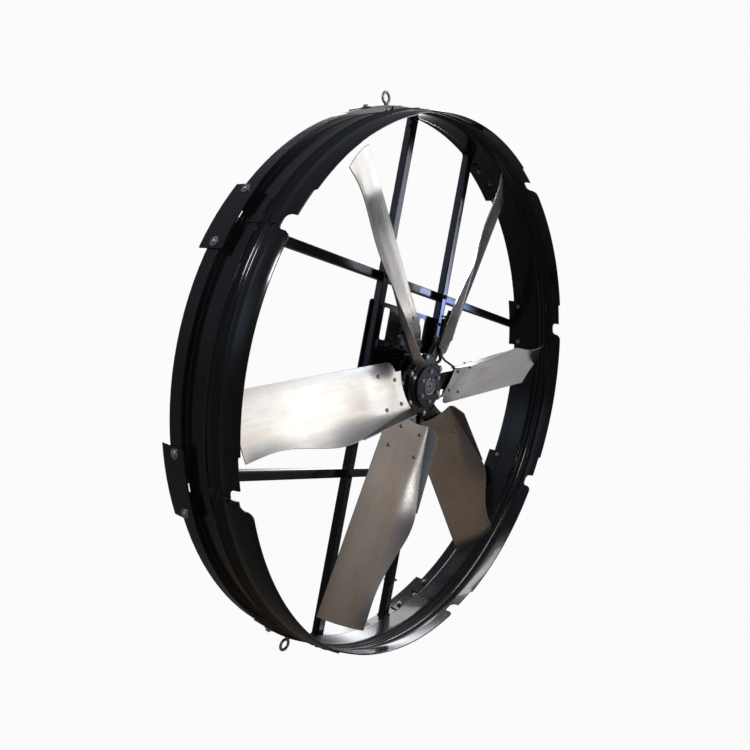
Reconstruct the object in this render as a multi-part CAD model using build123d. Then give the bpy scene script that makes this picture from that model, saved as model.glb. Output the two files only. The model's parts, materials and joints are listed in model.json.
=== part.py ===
from build123d import *
import math
import os

os.makedirs("parts", exist_ok=True)

# Large six-blade circulation fan: a segmented moulded shroud on a rolled steel
# hoop, two posts and two cross bars, a direct-drive motor on a plate, and a
# cast hub that carries six formed aluminium blades.
#
# Frame, in mm: X to the right as seen from the outlet (front, -Y) side, Z up,
# Y towards the rear, Y = 0 at the rear edge of the hoop, rotor axis on Y.
# Angles are in degrees, counter-clockwise from +X as seen from the outlet.
# Every solid is moved by AXIAL_SHIFT when saved, which puts the origin at the
# centre of the fan's overall depth.

# Hoop and shroud
HOOP_RO = 966.0
HOOP_T = 5.0
HOOP_RI = HOOP_RO - HOOP_T
HOOP_W = 49.0
FLANGE_Y = -HOOP_W         # rear face of the shroud flange
SKIN_T = 4.0               # shroud wall
SEG_COUNT = 8
SEG_ARC = 360.0 / SEG_COUNT
JOINTS = [22.5 + SEG_ARC * i for i in range(SEG_COUNT)]
REAR_RI = 945.0            # inner radius of the shroud at its rear edge
RIM_RI = 924.0             # inner radius at its front rim
RIM_Y = -251.0
RIM_EXTRA = 30.0           # extra depth of the one deeper segment
DEEP_START = 202.5         # joint where the deeper segment starts
ROUNDED_STARTS = (157.5, 202.5)  # segments with the rounded cut at their start
TAB_RO = HOOP_RI - 0.1     # splice tabs inside the hoop
TAB_RI = HOOP_RI - 4.1

# Splice plates and lifting eyes, outside the hoop
SPLICE_HALF = 6.5          # half angle of a splice plate
SPLICE_RI = HOOP_RO + 0.2
SPLICE_RO = SPLICE_RI + 4.0
SPLICE_Y0, SPLICE_Y1 = -65.0, 32.0
SPLICE_BOLT_ANG = 5.3      # bolt to joint
SPLICE_BOLT_Y = -25.0
SPLICE_ANGLES = [joint + side * SPLICE_BOLT_ANG for joint in JOINTS for side in (-1, 1)]
BAR_JOINTS = [22.5, 157.5, 202.5, 337.5]
EYE_JOINTS = [67.5, 112.5, 247.5, 292.5]
EYE_Y = -40.0
EYE_RI = 13.0              # hole of the lifting eye
EYE_BAR = 9.0              # bar diameter of the eye
RADIAL_HOLE_R = 5.3

# Fasteners: shank radius, nut bore radius, size across flats, head height
M10_R, M10_BORE_R, M10_HEX, M10_HEAD = 5.0, 5.05, 17.0, 6.4
M8_R, M8_BORE_R, M8_HEX, M8_HEAD = 4.0, 4.05, 13.0, 5.3
M10_HOLE_R = 5.2
M8_HOLE_R = 4.2
M8_WIDE_HOLE_R = 4.4

# Frame and motor plate
TUBE = 32.0
TUBE_WALL = 2.5
POST_X = 194.0
BAR_Z = 361.0
CROSSING_END_Y = TUBE + 8.0  # rear end of the crossing bolts and nuts
PLATE_T = 5.0
PLATE_HALF_W = 221.0
PLATE_TOP, PLATE_BOTTOM = 272.0, -155.0
WINDOW_X0, WINDOW_X1 = 97.0, 136.0
WINDOW_Z0, WINDOW_Z1 = 137.0, 256.0
PLATE_BOLT_Z = [-132.0, -20.0, 100.0, 248.0]
PLATE_BOLT_END_Y = PLATE_T + 8.5

# Motor
MOTOR_R = 118.0
MOTOR_FLANGE_R = 134.0
BELL_Y = -92.0             # joint between housing and front end bell
HOUSING_REAR_Y = -8.0
FIN_COUNT = 40
STATOR_RO = 101.0
STATOR_RI = 66.0
TEETH = 12
MAGNETS = 10
CORE_R = 60.2
MAGNET_RO = STATOR_RI - 0.8  # 0.8 mm air gap
STACK_Y0, STACK_Y1 = -78.0, -30.0
RUN = 0.05                 # running clearance, each side
# Bearings: front y, rear y, outer radius, inner radius
BEARINGS = [(-108.0, -89.0, 42.5, 22.5), (2.0, 19.0, 36.0, 17.5)]
BALL_COUNT = 9

# Hub
DRUM_R = 77.0
FLANGE_R = 118.0
HUB_FRONT_Y, HUB_REAR_Y = -146.0, -134.0  # outer flange of the drum
SHAFT_NOSE_R = 21.0
BUSH_FRONT_R, BUSH_REAR_R = 28.6, 26.9

# Blades. A blade is drawn along +X; "across" is then its Z coordinate.
BLADE_ANGLES = [12.0 + 60.0 * k for k in range(6)]
LOBES = [angle + 30.0 for angle in BLADE_ANGLES]
BLADE_T = 3.0
TIP_R = 873.0
ROOT_R = 146.0
PITCH_SLOPE = 0.4383       # slope of the blade seat, 23.7 degrees
SEAT_Y = -156.6            # seat depth on the centre line at SEAT_R
SEAT_R = 194.0
SEAT_RISE = 0.018
SEAT_NORMAL = Vector(-SEAT_RISE, 1.0, PITCH_SLOPE).normalized()
PAD_T = 9.0
# Bolts: radius, across
BLADE_BOLTS = [(177.0, -40.0), (257.0, -58.5), (176.0, 38.5), (258.0, 48.5)]

AXIAL_SHIFT = -(RIM_Y - RIM_EXTRA + CROSSING_END_Y) / 2.0


# ---- Helpers ----

def save(name, shape):
    """Write a shape, or a list of shapes, as one STEP file."""
    pieces = shape if isinstance(shape, list) else [shape]
    moved = [solid.moved(Location((0, AXIAL_SHIFT, 0)))
             for piece in pieces for solid in piece.solids()]
    whole = moved[0] if len(moved) == 1 else Compound(moved)
    whole.label = name
    export_step(whole, "parts/" + name + ".step")


def turned(shape, angle):
    """Turn about the rotor axis, counter-clockwise from the outlet side."""
    return shape.moved(Location((0, 0, 0), (0, 1, 0), -angle))


def polar(radius, angle):
    """x and z of a point round the rotor axis."""
    return radius * math.cos(math.radians(angle)), radius * math.sin(math.radians(angle))


def y_cylinder(radius, y_from, y_to, x=0.0, z=0.0):
    return Pos(x, (y_from + y_to) / 2, z) * Rot(90, 0, 0) * Cylinder(radius, y_to - y_from)


def y_tube(outer, inner, y_from, y_to):
    return y_cylinder(outer, y_from, y_to) - y_cylinder(inner, y_from - 1, y_to + 1)


def z_cylinder(radius, y, z_from, z_to):
    return Pos(0, y, (z_from + z_to) / 2) * Cylinder(radius, z_to - z_from)


def block(x_from, x_to, y_from, y_to, z_from, z_to):
    return Pos((x_from + x_to) / 2, (y_from + y_to) / 2, (z_from + z_to) / 2) * Box(
        x_to - x_from, y_to - y_from, z_to - z_from)


def hexagon(across_flats):
    return RegularPolygon(across_flats / 2 / math.cos(math.pi / 6), 6)


def y_hex(across_flats, y_from, y_to, x, z):
    return Pos(x, y_from, z) * Rot(-90, 0, 0) * extrude(hexagon(across_flats), y_to - y_from)


def y_nut(across_flats, bore, y_from, y_to, x, z):
    return largest(y_hex(across_flats, y_from, y_to, x, z)
                   - y_cylinder(bore, y_from - 1, y_to + 1, x, z))


def y_bolt(across_flats, shank_r, head_y, head_h, end_y, x, z):
    """Hex bolt with a domed head in front of head_y."""
    head = y_hex(across_flats, head_y - head_h, head_y, x, z)
    head = head & (Pos(x, head_y + across_flats * 0.55, z) * Sphere(across_flats * 0.98))
    return largest(head + y_cylinder(shank_r, head_y - 0.5, end_y, x, z))


def radial_hole(angle, y):
    return turned(z_cylinder(RADIAL_HOLE_R, y, 940, 990), angle - 90)


def radial_nut(seat_r, angle, y):
    """Nut just inside a radius, on a radial bolt."""
    nut = extrude(Pos(0, y, seat_r - 8.1) * hexagon(M10_HEX), 8.0)
    nut = nut - z_cylinder(M10_BORE_R, y, seat_r - 9.1, seat_r + 0.9)
    return largest(turned(nut, angle - 90))


def sector(r_inner, r_outer, y_from, y_to, angle_from, angle_to):
    """Part of a ring between two radii, two depths and two angles."""
    section = Polyline((r_inner, y_from), (r_outer, y_from), (r_outer, y_to),
                       (r_inner, y_to), close=True)
    ring = revolve(make_face(section), axis=Axis.Y, revolution_arc=angle_to - angle_from)
    return turned(ring, angle_to)


def revolved(points):
    """Full turn of an outline of (radius, y) points."""
    return revolve(make_face(Polyline(*points, close=True)), axis=Axis.Y)


def drilled(shape, radius, y_from, y_to, centres):
    for x, z in centres:
        shape = shape - y_cylinder(radius, y_from, y_to, x, z)
    return shape


def largest(shape):
    return max(shape.solids(), key=lambda solid: solid.volume)


CROSSINGS = [(x, z) for x in (-POST_X, POST_X) for z in (-BAR_Z, BAR_Z)]
PLATE_BOLTS = [(x, z) for x in (-POST_X, POST_X) for z in PLATE_BOLT_Z]
MOTOR_BOLTS = [polar(126.0, 30.0 + 60.0 * k) for k in range(6)]
BELL_SCREWS = [polar(108.0, 15.0 + 60.0 * k) for k in range(6)]
FACE_SCREWS = [polar(56.0, angle) for angle in LOBES]
LOBE_R = 104.0
LOBE_BOLTS = [polar(LOBE_R, angle) for angle in LOBES]


# ---- Shroud ----
WALL_BREAK_Y = -140.0      # straight behind, curving inwards in front
BEAD_YS = (-146.0, -166.0)
BEAD_HALF_W, BEAD_H = 9.0, 6.5
STEP_Y, STEP_W, STEP_H = -180.0, 8.0, 4.0  # outward step in front of the beads


def bead(y, centre):
    offset = abs(y - centre) / BEAD_HALF_W
    return BEAD_H * 0.5 * (1 + math.cos(math.pi * offset)) if offset < 1 else 0.0


def skin_radius(y, rim_y):
    """Inner radius of the shroud wall at depth y."""
    if y > WALL_BREAK_Y:
        radius = REAR_RI - 2.0 * (-54 - y) / 86.0
    else:
        k = (WALL_BREAK_Y - y) / (WALL_BREAK_Y - rim_y)
        radius = REAR_RI - 2.0 - (REAR_RI - 2.0 - RIM_RI) * (0.35 * k + 0.65 * k * k)
    radius += bead(y, BEAD_YS[0]) + bead(y, BEAD_YS[1])
    k = min(1.0, max(0.0, (STEP_Y - y) / STEP_W))
    return radius + STEP_H * k * k * (3 - 2 * k)


def skin_section(rim_y):
    """Wall section with its eased front rim and its flange."""
    depths = [-58.0, -100.0] + [-137.0 - 4.5 * i for i in range(12)]
    depths += [-186.5 + (rim_y + 2.0 + 186.5) * (i + 1) / 3 for i in range(3)]
    inner = [(skin_radius(y, rim_y), y) for y in depths]
    outer = [(radius + SKIN_T, y) for radius, y in inner]
    rear_in, rear_out = inner[0][0], outer[0][0]
    front_y = FLANGE_Y - SKIN_T
    rim = [(inner[-1][0] + 1.2, rim_y), (outer[-1][0] - 1.2, rim_y)]
    flange = [
        (rear_out, front_y - 2.0), (rear_out + 2.0, front_y), (HOOP_RO, front_y),
        (HOOP_RO, FLANGE_Y), (rear_in + 6.0, FLANGE_Y), (rear_in + 3.7, FLANGE_Y - 0.45),
        (rear_in + 1.76, FLANGE_Y - 1.76), (rear_in + 0.45, FLANGE_Y - 3.7),
        (rear_in, FLANGE_Y - 6.0)]
    return make_face(Polyline(*(inner + rim + outer[::-1] + flange), close=True))


def end_cutter(rim_y, side, rounded):
    """Cutter for the front corner of a segment end, at the top of the ring.

    side is +1 when the segment lies on the +X side of the joint."""
    depth, width = 42.0, 26.0
    inner_y = rim_y + depth
    cut = Pos(side * (width - 8) / 2, (inner_y + rim_y - 14) / 2) * Rectangle(
        width + 8, depth + 14)
    cut = fillet([v for v in cut.vertices() if v.Y > inner_y - 1 and side * v.X > 1], 17.0)
    if rounded:
        curve = 24.0
        cut += Pos(side * (width + curve / 2 - 0.5), rim_y + curve / 2 - 1) * Rectangle(
            curve + 1, curve + 2) - Pos(side * (width + curve), rim_y + curve) * Circle(curve)
        cut += Pos(side * (width + curve / 2 - 0.5), rim_y - 5) * Rectangle(curve + 1, 10)
    else:
        # shallow recess of the rim next to the joint, with an eased end
        cut += Pos(side * (width + 45), rim_y - 4) * Rectangle(94, 26)
        far = [v for v in cut.vertices() if abs(v.X) > width + 80 and v.Y > rim_y]
        cut = fillet(far, 8.0)
    return Pos(0, 0, 860) * extrude(cut, 160)


def shroud_segment(start):
    end = start + SEG_ARC
    rim_y = RIM_Y - (RIM_EXTRA if start == DEEP_START else 0.0)
    gap = 0.03
    body = turned(revolve(skin_section(rim_y), axis=Axis.Y, revolution_arc=SEG_ARC - 2 * gap),
                  end - gap)
    for tab_from, tab_to in ((start + 1.3, start + 7.3), (end - 7.3, end - 1.3)):
        body = body + sector(TAB_RI, TAB_RO, FLANGE_Y - 1.0, -6.0, tab_from, tab_to)
    # flange relief at each joint
    for joint in (start, end):
        body = largest(body - sector(HOOP_RO - 12.0, HOOP_RO + 3, -56.0, FLANGE_Y + 2.0,
                                     joint - 1.25, joint + 1.25))
    start_cutter = end_cutter(rim_y, -1, start in ROUNDED_STARTS)
    body = largest(body - turned(start_cutter, start - 90))
    body = largest(body - turned(end_cutter(rim_y, 1, end not in ROUNDED_STARTS), end - 90))
    for angle in (start + SPLICE_BOLT_ANG, end - SPLICE_BOLT_ANG):
        body = largest(body - radial_hole(angle, SPLICE_BOLT_Y))
    return body


for i, joint in enumerate(JOINTS):
    save("shroud_segment_%d" % (i + 1), shroud_segment(joint))


# ---- Hoop, splice plates and lifting eyes ----

def hoop_half(start):
    half = sector(HOOP_RI, HOOP_RO, FLANGE_Y, 0.0, start + 0.05, start + 180.0 - 0.05)
    for angle in SPLICE_ANGLES:
        half = half - radial_hole(angle, SPLICE_BOLT_Y)
    for angle in EYE_JOINTS:
        half = half - radial_hole(angle, EYE_Y)
    return largest(half)


def splice_plate(joint, with_eye):
    plate = sector(SPLICE_RI, SPLICE_RO, SPLICE_Y0, SPLICE_Y1,
                   joint - SPLICE_HALF, joint + SPLICE_HALF)
    for side in (-1, 1):
        plate = plate - radial_hole(joint + side * SPLICE_BOLT_ANG, SPLICE_BOLT_Y)
    if with_eye:
        plate = plate - radial_hole(joint, EYE_Y)
    return largest(plate)


def splice_washer(angle):
    washer = Pos(0, SPLICE_BOLT_Y, SPLICE_RO + 1.4) * (Cylinder(15.0, 2.4) - Cylinder(5.4, 4))
    return turned(washer, angle - 90)


def splice_bolt(angle):
    """Domed bolt with a hexagonal socket, its head outside the washer."""
    seat = SPLICE_RO + 2.6
    head = z_cylinder(8.5, SPLICE_BOLT_Y, seat, seat + M10_HEAD)
    head = head & (Pos(0, SPLICE_BOLT_Y, seat - 6.0) * Sphere(13.6))
    head = head - Pos(0, SPLICE_BOLT_Y, 0) * extrude(
        Pos(0, 0, SPLICE_RO + 6.4) * RegularPolygon(3.4, 6), 10)
    shank = z_cylinder(M10_R, SPLICE_BOLT_Y, TAB_RI - 12.0, SPLICE_RO + 3.0)
    return largest(turned(head + shank, angle - 90))


def lifting_eye(angle):
    centre = Pos(0, EYE_Y, SPLICE_RO + 6.0 + EYE_RI + EYE_BAR - 2.0) * Rot(90, 0, 0)
    ring = centre * Torus(EYE_RI + EYE_BAR / 2, EYE_BAR / 2)
    sleeve = centre * Cylinder(EYE_RI + 4.0, 5.0)
    collar = z_cylinder(9.0, EYE_Y, SPLICE_RO, SPLICE_RO + 6.0)
    neck = Pos(0, EYE_Y, SPLICE_RO + 7.0) * Cone(7.0, 4.6, 5.0)
    shank = z_cylinder(M10_R, EYE_Y, HOOP_RI - 12.0, SPLICE_RO + 1.0)
    eye = ring + sleeve + collar + neck + shank - centre * Cylinder(EYE_RI, 30)
    return largest(turned(eye, angle - 90))


save("hoop_left_half", hoop_half(157.5))
save("hoop_right_half", hoop_half(-22.5))
save("bar_end_plates", [splice_plate(joint, False) for joint in BAR_JOINTS])
save("eyebolt_plates", [splice_plate(joint, True) for joint in EYE_JOINTS])
save("splice_washers", [splice_washer(angle) for angle in SPLICE_ANGLES])
save("splice_bolts", [splice_bolt(angle) for angle in SPLICE_ANGLES])
save("splice_nuts", [radial_nut(TAB_RI, angle, SPLICE_BOLT_Y) for angle in SPLICE_ANGLES])
save("eyebolts", [lifting_eye(angle) for angle in EYE_JOINTS])
save("eyebolt_nuts", [radial_nut(HOOP_RI, angle, EYE_Y) for angle in EYE_JOINTS])


# ---- Frame ----

def tube_section():
    return RectangleRounded(TUBE, TUBE, 3.5) - RectangleRounded(
        TUBE - 2 * TUBE_WALL, TUBE - 2 * TUBE_WALL, 1.5)


def post(x):
    """Upright in front of Y = 0, ends cut to the inside of the hoop."""
    tube = Pos(x, -TUBE / 2, -1000) * extrude(tube_section(), 2000)
    tube = tube & y_cylinder(HOOP_RI - 0.1, -100, 100)
    tube = drilled(tube, M10_HOLE_R, -50, 20, [(x, -BAR_Z), (x, BAR_Z)])
    return largest(drilled(tube, M8_HOLE_R, -50, 20, [(x, z) for z in PLATE_BOLT_Z]))


def cross_bar(z):
    """Level bar behind the posts, ends cut to the outside of the hoop."""
    tube = Pos(-1000, TUBE / 2 + 0.02, z) * Rot(0, 90, 0) * extrude(tube_section(), 2000)
    tube = tube & y_cylinder(HOOP_RO + 0.1, -100, 100)
    return largest(drilled(tube, M10_HOLE_R, -50, 60, [(-POST_X, z), (POST_X, z)]))


def motor_plate():
    plate = block(-PLATE_HALF_W, PLATE_HALF_W, 0.02, PLATE_T, PLATE_BOTTOM, PLATE_TOP)
    plate = fillet(plate.edges().filter_by(Axis.Y), 10.0)
    window_x, window_z = (WINDOW_X0 + WINDOW_X1) / 2, (WINDOW_Z0 + WINDOW_Z1) / 2
    for side in (-1, 1):
        plate = plate - Pos(side * window_x, -5, window_z) * Rot(-90, 0, 0) * extrude(
            RectangleRounded(WINDOW_X1 - WINDOW_X0, WINDOW_Z1 - WINDOW_Z0, 8.0), 20)
        plate = drilled(plate, M8_WIDE_HOLE_R, -5, 10, [(side * POST_X, z) for z in PLATE_BOLT_Z])
    plate = plate - y_cylinder(50.0, -5, 10)
    return largest(drilled(plate, M8_WIDE_HOLE_R, -5, 10, MOTOR_BOLTS))


save("left_post", post(-POST_X))
save("right_post", post(POST_X))
save("upper_bar", cross_bar(BAR_Z))
save("lower_bar", cross_bar(-BAR_Z))
save("motor_plate", motor_plate())
save("crossing_bolts", [y_bolt(M10_HEX, M10_R, -TUBE - 0.05, M10_HEAD, CROSSING_END_Y, x, z)
                        for x, z in CROSSINGS])
save("crossing_nuts", [y_nut(M10_HEX, M10_BORE_R, TUBE + 0.1, CROSSING_END_Y, x, z)
                       for x, z in CROSSINGS])
save("plate_bolts", [y_bolt(M8_HEX, M8_R, -TUBE - 0.05, M8_HEAD, PLATE_BOLT_END_Y, x, z)
                     for x, z in PLATE_BOLTS])
save("motor_bolts", [y_bolt(M8_HEX, M8_R, HOUSING_REAR_Y - 0.05, M8_HEAD, PLATE_BOLT_END_Y, x, z)
                     for x, z in MOTOR_BOLTS])
save("plate_nuts", [y_nut(M8_HEX, M8_BORE_R, PLATE_T + 0.05, PLATE_T + 6.5, x, z)
                    for x, z in PLATE_BOLTS + MOTOR_BOLTS])


# ---- Motor ----
BORE_R = STATOR_RO + 0.02  # housing bore
SPIGOT_R = 100.9           # end bell spigots inside the housing
BOSS_ANGLE = 36.0          # cable entry boss, upper right


def motor_housing():
    # one fin: fraction of the fin pitch, radius
    fin = [(0.0, MOTOR_R - 7), (0.5, MOTOR_R - 7), (0.56, MOTOR_R), (0.94, MOTOR_R)]
    outline = [polar(radius, 360.0 * (k + fraction) / FIN_COUNT)
               for k in range(FIN_COUNT) for fraction, radius in fin]
    fin_face = make_face(Polyline(*outline, close=True)) - Circle(BORE_R)
    housing = Pos(0, BELL_Y + 12, 0) * Rot(-90, 0, 0) * extrude(
        fin_face, HOUSING_REAR_Y - BELL_Y - 22)
    housing = housing + y_tube(MOTOR_R - 3, BORE_R, BELL_Y, BELL_Y + 12)
    housing = housing + y_tube(MOTOR_R - 3, BORE_R, HOUSING_REAR_Y - 10, HOUSING_REAR_Y)
    boss = Pos(MOTOR_R - 2, -46, 0) * Rot(0, 90, 0) * Cylinder(15.0, 22.0)
    boss = turned(boss, BOSS_ANGLE)
    housing = housing + (boss - y_cylinder(MOTOR_R - 8, -100, 0))
    hole = Pos(MOTOR_R, -46, 0) * Rot(0, 90, 0) * Cylinder(7.0, 60.0)
    housing = housing - turned(hole, BOSS_ANGLE)
    return largest(drilled(housing, 3.0, BELL_Y - 1, BELL_Y + 20, BELL_SCREWS))


def front_end_bell():
    bell = revolved([
        (31.0, -116.0), (50.0, -116.0), (54.0, -112.0), (54.0, -102.0), (112.0, -100.0),
        (115.0, -97.0), (115.0, BELL_Y - 0.02), (SPIGOT_R, BELL_Y - 0.02), (SPIGOT_R, -88.0),
        (96.0, -88.0), (96.0, BELL_Y - 1), (54.0, -94.0), (54.0, -88.0), (42.5, -88.0),
        (42.5, -108.0), (31.0, -108.0)])
    for k in range(8):
        bell = bell + turned(block(52.0, 108.0, -105.0, -99.0, -2.5, 2.5), 22.5 + 45.0 * k)
    return largest(drilled(bell, 3.3, -125, -80, BELL_SCREWS))


def bell_screw(x, z):
    return largest(y_cylinder(5.0, -106.0, -100.6, x, z)
                   + y_cylinder(2.9, -101.0, BELL_Y + 16, x, z))


def rear_end_bell():
    bell = revolved([
        (36.0, 2.0), (36.0, 24.0), (48.0, 24.0), (48.0, 0.0), (MOTOR_FLANGE_R, 0.0),
        (MOTOR_FLANGE_R, -7.98), (SPIGOT_R, -7.98), (SPIGOT_R, -14.0), (96.0, -14.0),
        (96.0, -8.0), (48.0, -10.0), (24.0, -10.0), (24.0, 2.0)])
    return largest(drilled(bell, M8_WIDE_HOLE_R, -20, 10, MOTOR_BOLTS))


def rear_cap():
    return largest(revolved([
        (0.0, 26.0), (30.0, 26.0), (32.0, 22.5), (35.95, 22.5), (35.95, 24.05),
        (47.0, 24.05), (47.0, 27.0), (36.0, 32.0), (0.0, 32.0)]))


def stator_core():
    stator = y_tube(STATOR_RO, 90.0, STACK_Y0, STACK_Y1)
    for k in range(TEETH):
        angle = 360.0 / TEETH * k
        stator = stator + turned(block(69.0, 92.0, STACK_Y0, STACK_Y1, -8.0, 8.0), angle)
        stator = stator + turned(block(60.0, 70.5, STACK_Y0, STACK_Y1, -14.0, 14.0), angle)
    return largest(stator - y_cylinder(STATOR_RI, -200, 100))


def stator_coil(angle):
    coil = block(71.5, 88.0, STACK_Y0 - 7.0, STACK_Y1 + 7.0, -14.2, 14.2) - \
        block(60.0, 100.0, STACK_Y0 - 0.4, STACK_Y1 + 0.4, -8.4, 8.4)
    return turned(coil, angle)


save("motor_housing", motor_housing())
save("front_end_bell", front_end_bell())
save("bell_screws", [bell_screw(x, z) for x, z in BELL_SCREWS])
save("rear_end_bell", rear_end_bell())
save("rear_cap", rear_cap())
save("stator_core", stator_core())
save("stator_coils", [stator_coil(360.0 / TEETH * k) for k in range(TEETH)])

# Bearings: grooved rings
outer_rings, inner_rings, balls = [], [], []
for front_y, rear_y, outer_r, inner_r in BEARINGS:
    pitch_r = (outer_r + inner_r) / 2
    ball_r = (outer_r - inner_r) * 0.29
    middle_y = (front_y + rear_y) / 2
    land = ball_r * 0.55   # ring edge to pitch circle
    groove = Pos(0, middle_y, 0) * Rot(90, 0, 0) * Torus(pitch_r, ball_r + RUN)
    outer_rings.append(largest(y_tube(outer_r - 0.01, pitch_r + land, front_y, rear_y) - groove))
    inner_rings.append(largest(y_tube(pitch_r - land, inner_r, front_y, rear_y) - groove))
    for k in range(BALL_COUNT):
        x, z = polar(pitch_r, 360.0 * k / BALL_COUNT)
        balls.append(Pos(x, middle_y, z) * Sphere(ball_r))
save("bearing_outer_rings", outer_rings)
save("bearing_inner_rings", inner_rings)
save("bearing_balls", balls)

SEAL_RI = SHAFT_NOSE_R + 1.5 + RUN
save("shaft_seal", largest(revolved([
    (SEAL_RI, -115.5), (30.95, -115.5), (30.95, -108.1), (27.0, -108.1), (27.0, -113.0),
    (SEAL_RI, -112.5)])))


# ---- Rotor ----

def motor_shaft():
    shaft = revolved([
        (0.0, -167.0), (SHAFT_NOSE_R - 1.5, -167.0), (SHAFT_NOSE_R, -165.5),
        (SHAFT_NOSE_R, -119.0), (22.5, -118.0), (22.5, -88.95), (26.0, -88.95), (26.0, -80.0),
        (24.0, -80.0), (24.0, -27.0), (21.0, -27.0), (21.0, 1.95), (17.5, 1.95),
        (17.5, 20.0), (16.0, 21.5), (0.0, 21.5)])
    # keyway and centre hole in the nose
    shaft = shaft - block(-6.0, 6.0, -168.0, -128.0, SHAFT_NOSE_R - 5.0, SHAFT_NOSE_R + 5.0)
    return largest(shaft - y_cylinder(5.0, -170.0, -145.0))


def rotor_core():
    core = y_tube(CORE_R, 24.02, STACK_Y0, STACK_Y1)
    return largest(drilled(core, 9.0, -200, 100, [polar(42.0, 60 * k + 30) for k in range(6)]))


def rotor_magnet(angle):
    return sector(CORE_R + 0.02, MAGNET_RO, STACK_Y0 + 1, STACK_Y1 - 1, angle - 16.0, angle + 16.0)


save("motor_shaft", motor_shaft())
save("shaft_key", block(-5.95, 5.95, -164.0, -128.1, SHAFT_NOSE_R - 4.98, SHAFT_NOSE_R + 2.9))
save("rotor_core", rotor_core())
save("rotor_magnets", [rotor_magnet(360.0 / MAGNETS * k) for k in range(MAGNETS)])


# ---- Hub ----

def hub_drum():
    """Nose with a recessed front, lobed flange and tapered bore."""
    web_r = FLANGE_R - 16.0
    drum = revolved([
        (0.0, -160.0), (70.0, -160.0), (70.0, -166.0), (75.0, -166.0), (DRUM_R, -164.0),
        (DRUM_R, -152.0), (84.0, HUB_FRONT_Y), (web_r, HUB_FRONT_Y), (web_r, HUB_REAR_Y),
        (0.0, HUB_REAR_Y)])
    for angle, (x, z) in zip(LOBES, LOBE_BOLTS):
        drum = drum + y_cylinder(14.0, HUB_FRONT_Y, HUB_REAR_Y, x, z)
        arm = block(70.0, LOBE_R, HUB_FRONT_Y, HUB_REAR_Y, -14.0, 14.0)
        drum = drum + turned(arm, angle)
    drum = drum - (Pos(0, -148.5, 0) * Rot(90, 0, 0)
                   * Cone(BUSH_REAR_R + 0.02, BUSH_FRONT_R + 0.30, 38.0))
    drum = drum - y_cylinder(BUSH_REAR_R + 0.1, -140, -120)
    for screw, bolt in zip(FACE_SCREWS, LOBE_BOLTS):
        drum = drum - y_cylinder(4.0, -161.0, -140.0, *screw)
        drum = drum - y_cylinder(M10_HOLE_R, -150.0, -120.0, *bolt)
    return largest(drum)


def hub_face_plate():
    bore = BUSH_FRONT_R + 2.0
    face = revolved([(bore, -165.2), (68.0, -165.2), (69.8, -163.5), (69.8, -160.05),
                     (bore, -160.05)])
    return largest(drilled(face, 4.3, -170.0, -150.0, FACE_SCREWS))


def face_screw(x, z):
    screw = y_cylinder(6.5, -172.5, -165.25, x, z) + y_cylinder(3.95, -166.0, -142.0, x, z)
    socket = Pos(x, -174.0, z) * Rot(-90, 0, 0) * extrude(RegularPolygon(3.6, 6), 5.5)
    return largest(screw - socket)


def taper_bushing():
    bushing = Pos(0, -149.0, 0) * Rot(90, 0, 0) * Cone(BUSH_REAR_R, BUSH_FRONT_R, 34.0)
    bushing = bushing - y_cylinder(SHAFT_NOSE_R + 0.02, -200, -100)
    # keyway at the top, slit at the bottom
    bushing = bushing - block(-6.0, 6.0, -200, -100, SHAFT_NOSE_R - 2, SHAFT_NOSE_R + 3.0)
    return largest(bushing - block(-1.2, 1.2, -200, -100, -40, -15))


save("hub_drum", hub_drum())
save("hub_face_plate", hub_face_plate())
save("hub_face_screws", [face_screw(x, z) for x, z in FACE_SCREWS])
save("taper_bushing", taper_bushing())
save("hub_flange_bolts", [y_bolt(M10_HEX, M10_R, HUB_FRONT_Y - 0.05, M10_HEAD, -119.5, x, z)
                          for x, z in LOBE_BOLTS])


# ---- Blade seat and spider ----
# Pad corners: radius, across
PAD_CORNERS = [(150.0, -60.0), (286.0, -80.0), (286.0, 68.0), (150.0, 52.0)]
# Arm and rib stations: radius, half width, y, thickness, slope
ARM = [(92.0, 30.0, -127.4, 12.6, 0.0), (128.0, 34.0, -129.0, 18.0, 0.22),
       (168.0, 44.0, -141.0, 12.0, PITCH_SLOPE)]
RIB = [(150.0, 13.0, -134.0, 17.0, 0.3), (262.0, 6.0, -141.0, 9.0, PITCH_SLOPE)]


def seat_y(radius, across):
    return SEAT_Y + SEAT_RISE * (radius - SEAT_R) - PITCH_SLOPE * across


def seat_plane(radius, across, behind):
    """Plane parallel to the blade seat, a distance behind it."""
    origin = Vector(radius, seat_y(radius, across), across) + SEAT_NORMAL * behind
    return Plane(origin=origin, x_dir=Vector(1, SEAT_RISE, 0).normalized(), z_dir=SEAT_NORMAL)


def seat_cylinder(place, cylinder_r, behind_from, behind_to):
    """Cylinder square to the seat; place is its (radius, across)."""
    return extrude(seat_plane(*place, behind_from) * Circle(cylinder_r),
                   behind_to - behind_from)


def pad_solid(behind_from, behind_to, grow=0.0):
    """Pad shape; a grown one reaches further inwards and has sharp corners."""
    plane = seat_plane(SEAT_R, 0.0, behind_from)
    points = []
    for radius, across in PAD_CORNERS:
        if radius < 200.0:
            radius -= grow
        local = plane.to_local_coords(Vector(radius, seat_y(radius, across), across))
        points.append((local.X, local.Y))
    face = make_face(Polyline(*points, close=True))
    if grow == 0.0:
        face = fillet(face.vertices(), 16.0)
    return extrude(plane * face, behind_to - behind_from)


def arm_section(radius, half_width, y, thickness, slope):
    plane = Plane(origin=(radius, y, 0), x_dir=(0, -slope, 1), z_dir=(1, 0, 0))
    return plane * RectangleRounded(2 * half_width, thickness, thickness * 0.45)


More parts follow.
